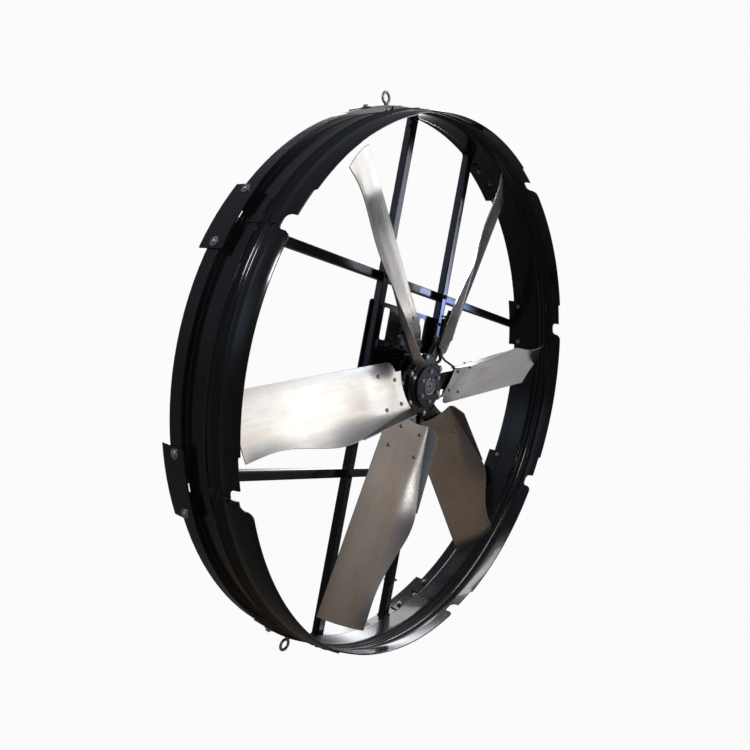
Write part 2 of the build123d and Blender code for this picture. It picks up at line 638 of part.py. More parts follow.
def blade_spider():
    """Ring with six arms and tilted pads, one casting."""
    pad_front = BLADE_T + 0.1
    arm = loft([arm_section(*station) for station in ARM])
    pad = pad_solid(pad_front, pad_front + PAD_T)
    rib = loft([arm_section(*station) for station in RIB])
    spoke = arm + pad + rib
    # nothing in front of the pad face, nor in the room of the drum flange
    spoke = spoke - extrude(seat_plane(SEAT_R, 0, pad_front) * Rectangle(900, 900), -60)
    spoke = spoke - y_cylinder(FLANGE_R + 1.0, -180.0, -133.95)
    spoke = largest(spoke)
    spider = y_tube(FLANGE_R - 2.0, 40.0, -133.9, -121.0)
    for angle in BLADE_ANGLES:
        spider = spider + turned(spoke, angle)
    spider = drilled(spider, M10_HOLE_R, -150.0, -100.0, LOBE_BOLTS)
    for angle in BLADE_ANGLES:
        for place in BLADE_BOLTS:
            spider = spider - turned(seat_cylinder(place, M8_HOLE_R, -6.0, 60.0), angle)
    return largest(spider)


save("blade_spider", blade_spider())


# ---- Blades ----
# Edge points: radius, across, y
LEAD_ROOT, LEAD_TIP = (194.0, -100.0, -114.0), (869.0, -86.2, -129.5)
FOLD_ROOT, FOLD_END = (134.0, 56.7, -184.6), (455.9, 103.8, -236.4)
FACET_CORNER = (169.7, 67.2, -234.5)
TRAILING = [
    FOLD_END, (537.5, 109.1, -228.0), (619.1, 99.5, -212.7), (700.6, 86.0, -204.1),
    (782.2, 82.4, -203.1), (863.8, 95.5, -201.0), (900.0, 103.5, -200.5)]
# Radii of the blade and facet sections
BLADE_STATIONS = [128.0, 165.0, 205.0, 245.0, 285.0, 330.0, 380.0, 425.0, 470.0, 530.0,
                  590.0, 650.0, 710.0, 770.0, 830.0, 898.0]
FACET_STATIONS = [130.0, 210.0, 290.0, 370.0, 440.0]
SECTION_POINTS = 15
FLAT_END_R = 290.0         # the section follows the seat up to here


def on_line(start, end, radius):
    """Across and y at a radius on the line through two edge points."""
    k = (radius - start[0]) / (end[0] - start[0])
    return tuple(p + (q - p) * k for p, q in zip(start[1:], end[1:]))


def trailing_edge(radius):
    """Across and y: a bowed fold line at the root, then a cubic through TRAILING."""
    if radius <= FOLD_END[0]:
        k = (radius - FOLD_ROOT[0]) / (FOLD_END[0] - FOLD_ROOT[0])
        across, y = on_line(FOLD_ROOT, FOLD_END, radius)
        bow = math.sin(math.pi * max(0.0, k))
        return across + 1.5 * bow, y + 5.0 * bow
    i = next(i for i in range(len(TRAILING) - 1) if radius <= TRAILING[i + 1][0])
    start, end = TRAILING[i], TRAILING[i + 1]
    before, after = TRAILING[max(i - 1, 0)], TRAILING[min(i + 2, len(TRAILING) - 1)]
    span = end[0] - start[0]
    k = (radius - start[0]) / span
    place = []
    for axis in (1, 2):
        slope_in = (end[axis] - before[axis]) / (end[0] - before[0]) * span
        slope_out = (after[axis] - start[axis]) / (after[0] - start[0]) * span
        place.append((2 * k**3 - 3 * k**2 + 1) * start[axis] + (k**3 - 2 * k**2 + k) * slope_in
                     + (-2 * k**3 + 3 * k**2) * end[axis] + (k**3 - k**2) * slope_out)
    return tuple(place)


def centre_line(radius):
    """Depth and slope of the section where it crosses the blade's centre line."""
    if radius <= FLAT_END_R:
        return seat_y(radius, 0.0), PITCH_SLOPE
    k = min(1.0, (radius - FLAT_END_R) / 180.0)
    k = k * k * (3 - 2 * k)
    base = seat_y(min(radius, 330.0), 0.0)
    y = base + (-158.0 - base) * k
    if radius < 560:
        return y, PITCH_SLOPE + 0.03 * k
    return y, PITCH_SLOPE + 0.03 - 0.075 * min(1.0, (radius - 560.0) / 300.0)


def front_points(radius):
    """(across, y) points of the front face: a straight middle, parabolic flanks."""
    lead, lead_y = on_line(LEAD_ROOT, LEAD_TIP, radius)
    trail, trail_y = trailing_edge(radius)
    middle_y, slope = centre_line(radius)
    if radius <= FLAT_END_R:
        flat_from = max(-50.0 - 18.0 * (radius - 177.0) / 80.0, lead + 18.0)
        flat_to = min(50.0, trail - 12.0)
    else:
        k = min(1.0, (radius - FLAT_END_R) / 200.0)
        flat_from = -74.0 + 44.0 * k
        flat_to = 50.0 - 22.0 * k
    from_y, to_y = middle_y - slope * flat_from, middle_y - slope * flat_to
    lead_bend = (lead_y - from_y + slope * (lead - flat_from)) / (lead - flat_from) ** 2
    trail_bend = (trail_y - to_y + slope * (trail - flat_to)) / (trail - flat_to) ** 2
    points = []
    for i in range(SECTION_POINTS):
        across = lead + (trail - lead) * i / (SECTION_POINTS - 1)
        y = middle_y - slope * across
        if across < flat_from:
            y += lead_bend * (across - flat_from) ** 2
        elif across > flat_to:
            y += trail_bend * (across - flat_to) ** 2
        points.append((across, y))
    return points


def blade_section(radius):
    front = front_points(radius)
    back = []
    for i, (across, y) in enumerate(front):
        before, after = front[max(0, i - 1)], front[min(len(front) - 1, i + 1)]
        run, rise = after[0] - before[0], after[1] - before[1]
        length = math.hypot(run, rise)
        back.append((across - rise / length * BLADE_T, y + run / length * BLADE_T))
    front = [Vector(radius, y, across) for across, y in front]
    back = [Vector(radius, y, across) for across, y in back]
    return Wire([Edge.make_spline(front), Edge.make_line(front[-1], back[-1]),
                 Edge.make_spline(back[::-1]), Edge.make_line(back[0], front[0])])


def facet_section(radius):
    """Section of the folded facet on the root end of the trailing edge."""
    fold, fold_y = trailing_edge(radius)
    edge, edge_y = on_line(FACET_CORNER, FOLD_END, radius)
    length = math.hypot(edge - fold, edge_y - fold_y)
    if length < 1.2:
        edge, edge_y = fold + 0.25, fold_y - 1.2
        length = math.hypot(edge - fold, edge_y - fold_y)
    along, along_y = (edge - fold) / length, (edge_y - fold_y) / length
    # the thickness goes towards +across
    normal, normal_y = -along_y, along
    if normal < 0:
        normal, normal_y = -normal, -normal_y
    start, start_y = fold - along, fold_y - along_y
    thick, thick_y = normal * BLADE_T, normal_y * BLADE_T
    corners = [Vector(radius, y, across) for across, y in (
        (start, start_y), (edge, edge_y), (edge + thick, edge_y + thick_y),
        (start + thick, start_y + thick_y))]
    return Wire([Edge.make_line(corners[i], corners[(i + 1) % 4]) for i in range(4)])


def make_blade():
    blade = Solid.make_loft([blade_section(r) for r in BLADE_STATIONS], ruled=False)
    blade = blade + Solid.make_loft([facet_section(r) for r in FACET_STATIONS], ruled=True)
    # concave root edge around the hub
    blade = blade - y_cylinder(ROOT_R, -400, 0)
    # rounded leading root corner
    corner = block(100.0, 196.0, -300.0, 0.0, -130.0, -66.0)
    blade = blade - (corner - (y_cylinder(34.0, -400, 100, 196.0, -66.0)
                               - block(196.0, 300.0, -400, 100, -140, 0))) \
        if False else blade - (corner - y_cylinder(34.0, -400, 100, 196.0, -66.0)
                               - block(196.0, 300.0, -400, 100, -140, 0))
    # slanted root end of the facet
    slant = Plane(origin=(139.8, -210.0, 63.0), x_dir=(0, 0, 1),
                  z_dir=Vector(-31.6, -35.1, 0).normalized())
    blade = blade - extrude(slant * Rectangle(200, 400), 80)
    # arc-cut tip
    blade = blade - y_tube(1100.0, TIP_R, -400.0, 0.0)
    for place in BLADE_BOLTS:
        blade = blade - seat_cylinder(place, M8_HOLE_R, -30.0, 30.0)
    # keep clear of the pad behind
    return largest(blade - pad_solid(BLADE_T + 0.02, 30.0, 10.0))


def blade_bolt(place):
    head = seat_cylinder(place, 7.0, -5.2, -0.45)
    dome = seat_plane(*place, 0.0).origin + SEAT_NORMAL * 2.8
    head = head & (Pos(dome.X, dome.Y, dome.Z) * Sphere(8.4))
    return largest(head + seat_cylinder(place, 3.95, -0.6, 24.0 + PAD_T))


def blade_nut(place):
    plane = seat_plane(*place, BLADE_T + PAD_T + 0.15)
    return largest(extrude(plane * hexagon(M8_HEX), 6.5)
                   - seat_cylinder(place, M8_R, 5.0, 40.0))


blade = make_blade()
for k, angle in enumerate(BLADE_ANGLES):
    save("blade_%d" % (k + 1), turned(blade, angle))
save("blade_bolts", [turned(blade_bolt(place), angle)
                     for angle in BLADE_ANGLES for place in BLADE_BOLTS])
save("blade_nuts", [turned(blade_nut(place), angle)
                    for angle in BLADE_ANGLES for place in BLADE_BOLTS])


# ---- Junction box and supply cable, on the right of the right post ----
BOX_X0, BOX_X1 = POST_X + TUBE / 2 + 0.1, POST_X + TUBE / 2 + 52.0
BOX_Y0, BOX_Y1 = -36.0, 0.0
BOX_Z0, BOX_Z1 = 196.0, 276.0
BOX_WALL = 3.0
GLAND_X, GLAND_Y = (BOX_X0 + BOX_X1) / 2, (BOX_Y0 + BOX_Y1) / 2
CABLE_R = 4.5
CABLE_DROP_X = 216.5       # where the cable runs down beside the post


def box_block(inset, y_from, y_to):
    """Block on the box outline, set in from its four sides."""
    return block(BOX_X0 + inset, BOX_X1 - inset, y_from, y_to, BOX_Z0 + inset, BOX_Z1 - inset)


def junction_box():
    """Box open to the front, with a gland hole in its floor."""
    box = box_block(0.0, BOX_Y0, BOX_Y1)
    box = fillet(box.edges().filter_by(Axis.Y), 5.0)
    box = box - box_block(BOX_WALL, BOX_Y0 - 5, BOX_Y1 - BOX_WALL)
    return largest(box - Pos(GLAND_X, GLAND_Y, BOX_Z0) * Cylinder(8.0, 20))


def junction_box_lid():
    lid = box_block(0.0, BOX_Y0 - 4.0, BOX_Y0 - 0.05)
    lid = fillet(lid.edges().filter_by(Axis.Y), 5.0)
    return largest(lid + box_block(BOX_WALL + 0.3, BOX_Y0 - 1, BOX_Y0 + 3.0)
                   - box_block(BOX_WALL + 2.3, BOX_Y0 - 0.04, BOX_Y0 + 5.0))


def cable_gland():
    gland = extrude(Pos(GLAND_X, GLAND_Y, BOX_Z0 - 8.1) * RegularPolygon(11.5, 6), 8.0)
    gland = gland + Pos(GLAND_X, GLAND_Y, BOX_Z0 - 13.0) * Cylinder(9.0, 10.2) \
        + Pos(GLAND_X, GLAND_Y, BOX_Z0 + 3.0) * Cylinder(7.9, 12.0)
    return largest(gland - Pos(GLAND_X, GLAND_Y, BOX_Z0) * Cylinder(4.6, 60))


def supply_cable():
    start = (GLAND_X, GLAND_Y, BOX_Z0 + 4.0)
    # x, z of the bends and the lower end
    bends = [(GLAND_X, 142.0), (300.0, 112.0), (420.0, 84.0), (392.0, 14.0), (250.0, -14.0),
             (CABLE_DROP_X, -90.0), (CABLE_DROP_X, -880.0)]
    path = FilletPolyline(start, *[(x, GLAND_Y, z) for x, z in bends], radius=24.0)
    return largest(sweep(Plane(origin=start, z_dir=(0, 0, -1)) * Circle(CABLE_R), path=path))


save("junction_box", junction_box())
save("junction_box_lid", junction_box_lid())
save("cable_gland", cable_gland())
save("supply_cable", supply_cable())
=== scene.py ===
"""A six-bladed fan in a round hoop, with an eight-segment moulded shroud.

The fan's axis is Y, with the shroud on the -Y (front) side of the hoop's rear edge.
+X is right and +Z is up. Lengths are metres, except where a section says millimetres.
The CAD pieces get materials and smooth shading; welds, ties, screws and strips are added.
"""
import json
import math
import random

import bpy
import bmesh
from mathutils import Matrix, Vector

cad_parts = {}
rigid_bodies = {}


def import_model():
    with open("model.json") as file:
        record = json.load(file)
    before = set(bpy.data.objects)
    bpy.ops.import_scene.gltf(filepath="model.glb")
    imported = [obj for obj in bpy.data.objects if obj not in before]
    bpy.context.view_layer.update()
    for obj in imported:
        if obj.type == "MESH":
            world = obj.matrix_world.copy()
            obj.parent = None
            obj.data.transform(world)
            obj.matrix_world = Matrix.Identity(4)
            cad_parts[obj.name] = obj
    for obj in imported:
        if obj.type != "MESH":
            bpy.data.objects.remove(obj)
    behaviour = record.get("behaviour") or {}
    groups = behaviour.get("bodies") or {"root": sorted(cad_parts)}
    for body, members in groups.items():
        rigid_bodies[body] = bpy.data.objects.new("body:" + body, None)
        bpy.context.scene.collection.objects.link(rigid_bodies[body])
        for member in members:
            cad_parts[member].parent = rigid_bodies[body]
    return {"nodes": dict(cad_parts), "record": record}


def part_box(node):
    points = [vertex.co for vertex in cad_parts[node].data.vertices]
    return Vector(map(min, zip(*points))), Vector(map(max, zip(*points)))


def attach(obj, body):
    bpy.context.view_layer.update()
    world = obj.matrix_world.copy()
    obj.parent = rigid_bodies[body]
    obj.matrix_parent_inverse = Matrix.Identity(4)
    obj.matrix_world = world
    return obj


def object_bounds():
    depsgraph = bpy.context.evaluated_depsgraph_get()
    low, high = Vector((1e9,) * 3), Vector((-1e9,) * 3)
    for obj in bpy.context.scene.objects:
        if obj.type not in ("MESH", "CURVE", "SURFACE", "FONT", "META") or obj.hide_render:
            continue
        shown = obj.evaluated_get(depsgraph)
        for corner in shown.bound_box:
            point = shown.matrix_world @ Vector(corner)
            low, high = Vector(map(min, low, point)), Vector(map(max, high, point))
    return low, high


for old in list(bpy.data.objects):
    bpy.data.objects.remove(old, do_unlink=True)
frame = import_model()
cad_lo, cad_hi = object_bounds()
scene = bpy.context.scene
rng = random.Random(11)

MM = 0.001
HOOP_Y = 0.1205             # the hoop's rear edge
HOOP_INNER_R = 0.961
POST_X = 0.194              # each post's centre, either side of the axis
POST_Y = HOOP_Y - 0.016
BLADE_COUNT = 6
BLADE_PHASE = 12.0          # degrees


class Graph:
    """Adds nodes to a tree. An input takes a value or another node's output."""

    def __init__(self, tree):
        self.tree = tree
        tree.nodes.clear()

    def node(self, kind, inputs=None, **props):
        made = self.tree.nodes.new(kind)
        for key, value in props.items():
            setattr(made, key, value)
        for key, value in (inputs or {}).items():
            if hasattr(value, "is_output"):
                self.tree.links.new(value, made.inputs[key])
            else:
                made.inputs[key].default_value = value
        return made

    def calc(self, operation, first, second, clamp=False):
        return self.node("ShaderNodeMath", {0: first, 1: second},
                         operation=operation, use_clamp=clamp).outputs[0]


# ------------------------------------------------------------ smooth shading
def smooth_group(name, max_angle):
    """Welds the mesh and smooths every edge flatter than max_angle degrees."""
    group = bpy.data.node_groups.new(name, "GeometryNodeTree")
    for direction in ("INPUT", "OUTPUT"):
        group.interface.new_socket("Geometry", in_out=direction,
                                   socket_type="NodeSocketGeometry")
    graph = Graph(group)
    source = graph.node("NodeGroupInput")
    bare = graph.node("GeometryNodeRemoveAttribute",
                      {"Geometry": source.outputs[0], "Name": "custom_normal"})
    merged = graph.node("GeometryNodeMergeByDistance",
                        {"Geometry": bare.outputs[0], "Distance": 2e-6})
    angle = graph.node("GeometryNodeInputMeshEdgeAngle").outputs["Unsigned Angle"]
    flat_edge = graph.node("FunctionNodeCompare", {0: angle, 1: math.radians(max_angle)},
                           data_type="FLOAT", operation="LESS_THAN")
    faces = graph.node("GeometryNodeSetShadeSmooth",
                       {"Geometry": merged.outputs[0], "Shade Smooth": True}, domain="FACE")
    edges = graph.node("GeometryNodeSetShadeSmooth",
                       {"Geometry": faces.outputs[0], "Shade Smooth": flat_edge.outputs[0]},
                       domain="EDGE")
    graph.node("NodeGroupOutput", {0: edges.outputs[0]})
    return group


SMOOTH = smooth_group("smooth_cad", max_angle=28.0)
SMOOTH_SHROUD = smooth_group("smooth_shroud", max_angle=40.0)
SMOOTH_SHEET = smooth_group("smooth_sheet", max_angle=14.0)


# ------------------------------------------------------------------ materials
class Surface(Graph):
    """A material built from node patterns in object coordinates."""

    def __init__(self, name):
        self.material = bpy.data.materials.new(name)
        self.material.use_nodes = True
        super().__init__(self.material.node_tree)
        self.position = self.node("ShaderNodeTexCoord").outputs["Object"]

    def noise(self, scale=1.0, detail=2.0, rough=0.5, at=None, stretch=None, distort=0.0):
        """Noise at a position; stretch multiplies the position axis by axis first."""
        place = at or self.position
        if stretch:
            place = self.node("ShaderNodeVectorMath", {0: place, 1: stretch},
                              operation="MULTIPLY").outputs[0]
        return self.node("ShaderNodeTexNoise", {
            "Scale": scale, "Detail": detail, "Roughness": rough,
            "Distortion": distort, "Vector": place}).outputs["Fac"]

    def wave(self, scale, axis, distort):
        return self.node("ShaderNodeTexWave",
                         {"Scale": scale, "Distortion": distort, "Vector": self.position},
                         bands_direction=axis).outputs["Fac"]

    def remap(self, value, source=(0.3, 0.7), to=(0.0, 1.0)):
        return self.node("ShaderNodeMapRange", {
            "Value": value, "From Min": source[0], "From Max": source[1],
            "To Min": to[0], "To Max": to[1]}).outputs[0]

    def mix(self, factor, base, colour):
        inputs = {0: factor}
        for index, value in ((6, base), (7, colour)):
            inputs[index] = value if hasattr(value, "is_output") else (*value, 1.0)
        return self.node("ShaderNodeMix", inputs, data_type="RGBA").outputs[2]

    def tint(self, base, colour, mask, amount, clamp=False):
        """Mixes colour over base by mask times amount."""
        return self.mix(self.calc("MULTIPLY", mask, amount, clamp), base, colour)

    def plus(self, base, extra, amount):
        return self.calc("ADD", base, self.calc("MULTIPLY", extra, amount))

    def dust(self, pattern, up_from, source, to):
        """A mask of the faces that look up, broken by a pattern."""
        normal = self.node("ShaderNodeNewGeometry").outputs["Normal"]
        upward = self.node("ShaderNodeSeparateXYZ", {0: normal}).outputs["Z"]
        return self.calc("MULTIPLY", self.remap(upward, source=(up_from, 1.0)),
                         self.remap(pattern, source=source, to=to))

    def bump(self, height, distance, strength=1.0, base=None):
        inputs = {"Strength": strength, "Distance": distance, "Height": height}
        if base is not None:
            inputs["Normal"] = base
        return self.node("ShaderNodeBump", inputs).outputs[0]

    def edge(self, radius, samples=4):
        """A normal rounded over the edges, for the thin highlight a real edge has."""
        return self.node("ShaderNodeBevel", {"Radius": radius}, samples=samples).outputs[0]

    def finish(self, colour, rough, normal, metal=0.0, **extra):
        """Closes the material; extra names Principled inputs, with _ for a space."""
        inputs = {"Base Color": colour, "Roughness": rough, "Metallic": metal,
                  "Normal": normal}
        for key, value in extra.items():
            inputs[key.replace("_", " ")] = value
        shader = self.node("ShaderNodeBsdfPrincipled", inputs)
        self.node("ShaderNodeOutputMaterial", {"Surface": shader.outputs[0]})
        self.material.diffuse_color = (0.5, 0.5, 0.5, 1.0)
        return self.material


def moulded_shroud():
    """Glossy black moulding: long waves, scuffs and dust on top."""
    mat = Surface("moulded_shroud")
    waves = mat.noise(scale=5.0)
    ripple = mat.noise(scale=42.0, detail=3.0, rough=0.55)
    grain = mat.noise(scale=1400.0, rough=0.6)
    streaks = mat.noise(scale=3.0, detail=5.0, rough=0.7, stretch=(6.0, 60.0, 6.0), distort=1.2)
    scuff = mat.remap(streaks, source=(0.60, 0.74))
    dust = mat.dust(waves, up_from=0.35, source=(0.35, 0.75), to=(0.35, 0.9))
    colour = mat.tint((0.0052, 0.0060, 0.0072), (0.060, 0.058, 0.055), dust,
                      amount=0.20, clamp=True)
    colour = mat.tint(colour, (0.10, 0.10, 0.11), scuff, amount=0.10)
    rough = mat.plus(mat.remap(waves, to=(0.12, 0.24)), mat.calc("ADD", dust, scuff),
                     amount=0.16)
    normal = mat.bump(waves, distance=0.0040, strength=0.55)
    normal = mat.bump(ripple, distance=0.00014, strength=0.4, base=normal)
    normal = mat.bump(grain, distance=0.000008, strength=0.15, base=normal)
    return mat.finish(colour, rough, normal, Specular_IOR_Level=0.5,
                      Coat_Weight=0.60, Coat_Roughness=0.07)


def black_steel():
    """Black paint with orange peel and a few pale chips."""
    mat = Surface("black_steel")
    peel = mat.noise(scale=520.0)
    cloud = mat.noise(scale=14.0, detail=3.0, rough=0.6)
    cells = mat.node("ShaderNodeTexVoronoi", {"Scale": 34.0, "Vector": mat.position})
    chips = mat.remap(cells.outputs["Distance"], source=(0.0, 0.045), to=(1.0, 0.0))
    chips = mat.calc("MULTIPLY", chips, mat.remap(mat.noise(scale=9.0), source=(0.56, 0.66)))
    colour = mat.mix(cloud, (0.0048, 0.0053, 0.0068), (0.010, 0.011, 0.0135))
    colour = mat.tint(colour, (0.12, 0.115, 0.11), chips, amount=0.5, clamp=True)
    rough = mat.plus(mat.remap(cloud, to=(0.16, 0.27)), chips, amount=0.2)
    normal = mat.bump(peel, distance=0.00006, strength=0.45, base=mat.edge(radius=0.0016))
    normal = mat.bump(cloud, distance=0.0012, strength=0.25, base=normal)
    return mat.finish(colour, rough, normal, Coat_Weight=0.7, Coat_Roughness=0.06)


def zinc(name, pale=(0.66, 0.66, 0.645), dark=(0.36, 0.35, 0.33), rough=(0.44, 0.24),
         metal=0.72):
    """Mottled plating; rough runs from the dark patches to the pale ones."""
    mat = Surface(name)
    mottle = mat.noise(scale=160.0, detail=4.0, rough=0.6)
    grain = mat.noise(scale=900.0)
    colour = mat.mix(mat.remap(mottle, source=(0.32, 0.68)), dark, pale)
    normal = mat.bump(grain, distance=0.00003, strength=0.5)
    normal = mat.bump(mottle, distance=0.00012, strength=0.4, base=normal)
    return mat.finish(colour, mat.remap(mottle, to=rough), normal, metal=metal)


def black_hardware():
    mat = Surface("black_hardware")
    mottle = mat.noise(scale=210.0, detail=4.0, rough=0.6)
    worn = mat.remap(mat.noise(scale=420.0, detail=3.0, rough=0.6), source=(0.60, 0.72))
    colour = mat.tint((0.020, 0.020, 0.022), (0.22, 0.21, 0.20), worn, amount=0.55)
    return mat.finish(colour, mat.remap(mottle, to=(0.26, 0.44)),
                      mat.bump(mottle, distance=0.00010, strength=0.5), metal=0.65)


def motor_paint():
    mat = Surface("motor_paint")
    cloud = mat.noise(scale=36.0, detail=4.0, rough=0.6)
    grain = mat.noise(scale=650.0, detail=3.0, rough=0.6)
    dust = mat.dust(cloud, up_from=0.2, source=(0.4, 0.8), to=(0.3, 1.0))
    colour = mat.tint((0.0085, 0.0095, 0.0110), (0.070, 0.066, 0.060), dust,
                      amount=0.30, clamp=True)
    rough = mat.plus(mat.remap(cloud, to=(0.24, 0.38)), dust, amount=0.2)
    return mat.finish(colour, rough, mat.bump(grain, distance=0.00012, strength=0.55),
                      Coat_Weight=0.3, Coat_Roughness=0.18)


def lamination_steel():
    """Thin sheets stacked along Y, with brown stains."""
    mat = Surface("lamination_steel")
    sheets = mat.wave(scale=320.0, axis="Y", distort=0.6)
    stain = mat.noise(scale=90.0, detail=3.0)
    colour = mat.mix(sheets, (0.19, 0.19, 0.20), (0.44, 0.44, 0.45))
    colour = mat.tint(colour, (0.20, 0.15, 0.11), stain, amount=0.4)
    return mat.finish(colour, mat.remap(stain, to=(0.32, 0.52)),
                      mat.bump(sheets, distance=0.00015, strength=0.8), metal=1.0)


def copper_winding():
    mat = Surface("copper_winding")
    wires = mat.wave(scale=260.0, axis="DIAGONAL", distort=1.4)
    stain = mat.noise(scale=60.0, detail=3.0)
    colour = mat.mix(wires, (0.30, 0.10, 0.035), (0.78, 0.36, 0.16))
    colour = mat.tint(colour, (0.30, 0.14, 0.05), stain, amount=0.35)
    return mat.finish(colour, mat.remap(stain, to=(0.22, 0.4)),
                      mat.bump(wires, distance=0.0004, strength=0.9), metal=0.9,
                      Coat_Weight=0.4, Coat_Roughness=0.12)


def ground_steel(name, tone, rough):
    """Steel with fine marks closely spaced along Y."""
    mat = Surface(name)
    marks = mat.noise(stretch=(120.0, 2600.0, 120.0))
    cloud = mat.noise(scale=55.0, detail=3.0)
    colour = mat.mix(mat.remap(cloud), tuple(c * 0.72 for c in tone), tone)
    return mat.finish(colour, mat.remap(marks, to=rough),
                      mat.bump(marks, distance=0.00002, strength=0.6), metal=1.0)


def rubber(name, tone, grain_scale=300.0):
    mat = Surface(name)
    grain = mat.noise(scale=grain_scale, detail=3.0, rough=0.6)
    cloud = mat.noise(scale=22.0, detail=3.0, rough=0.6)
    colour = mat.mix(mat.remap(cloud, source=(0.35, 0.75)), tone, tuple(c * 2.2 for c in tone))
    return mat.finish(colour, mat.remap(cloud, to=(0.38, 0.56)),
                      mat.bump(grain, distance=0.00012, strength=0.5))


def box_plastic():
    mat = Surface("box_plastic")
    grain = mat.noise(scale=1100.0, rough=0.7)
    cloud = mat.noise(scale=26.0, detail=3.0)
    dust = mat.dust(cloud, up_from=0.3, source=(0.35, 0.7), to=(0.3, 1.0))
    colour = mat.tint((0.014, 0.014, 0.016), (0.085, 0.08, 0.075), dust, amount=0.35)
    return mat.finish(colour, mat.remap(cloud, to=(0.42, 0.56)),
                      mat.bump(grain, distance=0.00010, strength=0.8))


def hub_casting():
    mat = Surface("hub_casting")
    grain = mat.noise(scale=240.0, detail=4.0, rough=0.65)
    cloud = mat.noise(scale=24.0, detail=3.0, rough=0.6)
    worn = mat.remap(mat.noise(scale=70.0, detail=5.0, rough=0.7), source=(0.60, 0.72))
    colour = mat.mix(cloud, (0.0105, 0.0105, 0.0130), (0.024, 0.024, 0.028))
    colour = mat.tint(colour, (0.10, 0.095, 0.09), worn, amount=0.30)
    normal = mat.bump(grain, distance=0.00040, strength=0.5,
                      base=mat.edge(radius=0.0022, samples=6))
    normal = mat.bump(cloud, distance=0.0012, strength=0.3, base=normal)
    return mat.finish(colour, mat.remap(cloud, to=(0.20, 0.36)), normal, metal=0.25,
                      Coat_Weight=0.8, Coat_Roughness=0.10)


def blade_aluminium(index, degrees, tone=(0.82, 0.80, 0.775)):
    """Brushed sheet: the grain runs along the blade, so the tangent runs across it."""
    mat = Surface("blade_aluminium_%d" % index)
    angle = math.radians(degrees)
    # turned so that X runs out along the blade
    along = mat.node("ShaderNodeVectorRotate",
                     {"Vector": mat.position, "Axis": (0.0, 1.0, 0.0), "Angle": angle},
                     rotation_type="AXIS_ANGLE").outputs[0]
    grain = mat.noise(detail=3.0, rough=0.65, at=along, stretch=(7.0, 0.0, 1500.0))
    streak = mat.noise(at=along, stretch=(1.6, 0.0, 150.0))
    smear = mat.noise(scale=7.0, detail=4.0, rough=0.6, at=along, distort=0.8)
    spots = mat.remap(mat.noise(scale=95.0, detail=3.0, rough=0.6, at=along),
                      source=(0.66, 0.74))
    tarnish = mat.remap(mat.noise(detail=3.0, rough=0.6, at=along, stretch=(4.0, 0.0, 16.0)),
                        source=(0.46, 0.72))
    # grime all over, plus a painted brownish reflection that darkens the blade more towards the
    # root
    radial = mat.node("ShaderNodeSeparateXYZ", {0: along}).outputs["X"]
    root = mat.remap(radial, source=(0.14, 0.34), to=(1.0, 0.0))
    # the root gain sets the painted reflection near the root; the floor sets the grime
    # everywhere
    root_reflection_gain, grime_floor = 0.5, 0.28
    grime_and_reflection_spread = mat.calc("ADD", mat.calc("MULTIPLY", root, root_reflection_gain), grime_floor)
    grime_and_reflection = mat.calc("MULTIPLY", mat.remap(smear, source=(0.42, 0.72)), grime_and_reflection_spread)

    colour = mat.mix(mat.remap(streak), tuple(c * 0.90 for c in tone), tone)
    colour = mat.tint(colour, tuple(c * 0.74 for c in tone), mat.remap(grain), amount=0.30)
    # painted reflection and grime: a brownish darkening, heavier towards the root
    colour = mat.tint(colour, (0.40, 0.36, 0.31), grime_and_reflection, amount=0.5, clamp=True)
    colour = mat.tint(colour, (0.58, 0.47, 0.36), tarnish, amount=0.42)
    colour = mat.tint(colour, (0.30, 0.29, 0.27), spots, amount=0.14)
    rough = mat.plus(mat.remap(grain, source=(0.25, 0.75), to=(0.22, 0.32)), grime_and_reflection,
                     amount=0.14)
    # the chord's parts in the XZ plane and along the axis
    in_plane, axial = 0.916, -0.40
    chord = (-math.sin(angle) * in_plane, axial, math.cos(angle) * in_plane)
    tangent = mat.node("ShaderNodeVectorTransform", {0: chord}, vector_type="VECTOR",
                       convert_from="OBJECT", convert_to="WORLD").outputs[0]
    normal = mat.bump(grain, distance=0.000010, strength=0.35,
                      base=mat.edge(radius=0.0022, samples=6))
    normal = mat.bump(mat.noise(scale=3.2, detail=1.0, at=along), distance=0.0022,
                      strength=0.30, base=normal)
    return mat.finish(colour, rough, normal, metal=1.0, Anisotropic=0.40, Tangent=tangent)


MATERIALS = {
    "moulded_shroud": moulded_shroud(),
    "black_steel": black_steel(),
    "zinc_hardware": zinc("zinc_hardware"),
    "black_hardware": black_hardware(),
    "motor_paint": motor_paint(),
    "lamination_steel": lamination_steel(),
    "copper_winding": copper_winding(),
    "magnet": ground_steel("magnet", tone=(0.50, 0.50, 0.53), rough=(0.18, 0.34)),
    "bearing_steel": ground_steel("bearing_steel", tone=(0.62, 0.61, 0.58),
                                  rough=(0.12, 0.30)),
    "seal_rubber": rubber("seal_rubber", tone=(0.012, 0.012, 0.012)),
    "box_plastic": box_plastic(),
    "cable_jacket": rubber("cable_jacket", tone=(0.010, 0.0105, 0.012), grain_scale=420.0),
    "hub_casting": hub_casting(),
    "hub_hardware": zinc("hub_hardware", pale=(0.82, 0.80, 0.75), dark=(0.40, 0.38, 0.33),
                         rough=(0.36, 0.18), metal=0.60),
    "snap_ring": zinc("snap_ring", pale=(0.95, 0.93, 0.86), dark=(0.62, 0.60, 0.54),
                      rough=(0.30, 0.16), metal=0.45),
    "blade_hardware": zinc("blade_hardware", pale=(0.62, 0.61, 0.59),
                           dark=(0.34, 0.32, 0.29), rough=(0.36, 0.20)),
}
for i in range(BLADE_COUNT):
    MATERIALS["blade_%d" % (i + 1)] = blade_aluminium(
        i + 1, BLADE_PHASE + 360.0 / BLADE_COUNT * i)
MATERIALS["taper_bushing"] = ground_steel("taper_bushing", tone=(0.16, 0.155, 0.14),
                                          rough=(0.28, 0.46))
MATERIALS["motor_shaft"] = ground_steel("motor_shaft", tone=(0.34, 0.32, 0.25),
                                        rough=(0.22, 0.40))


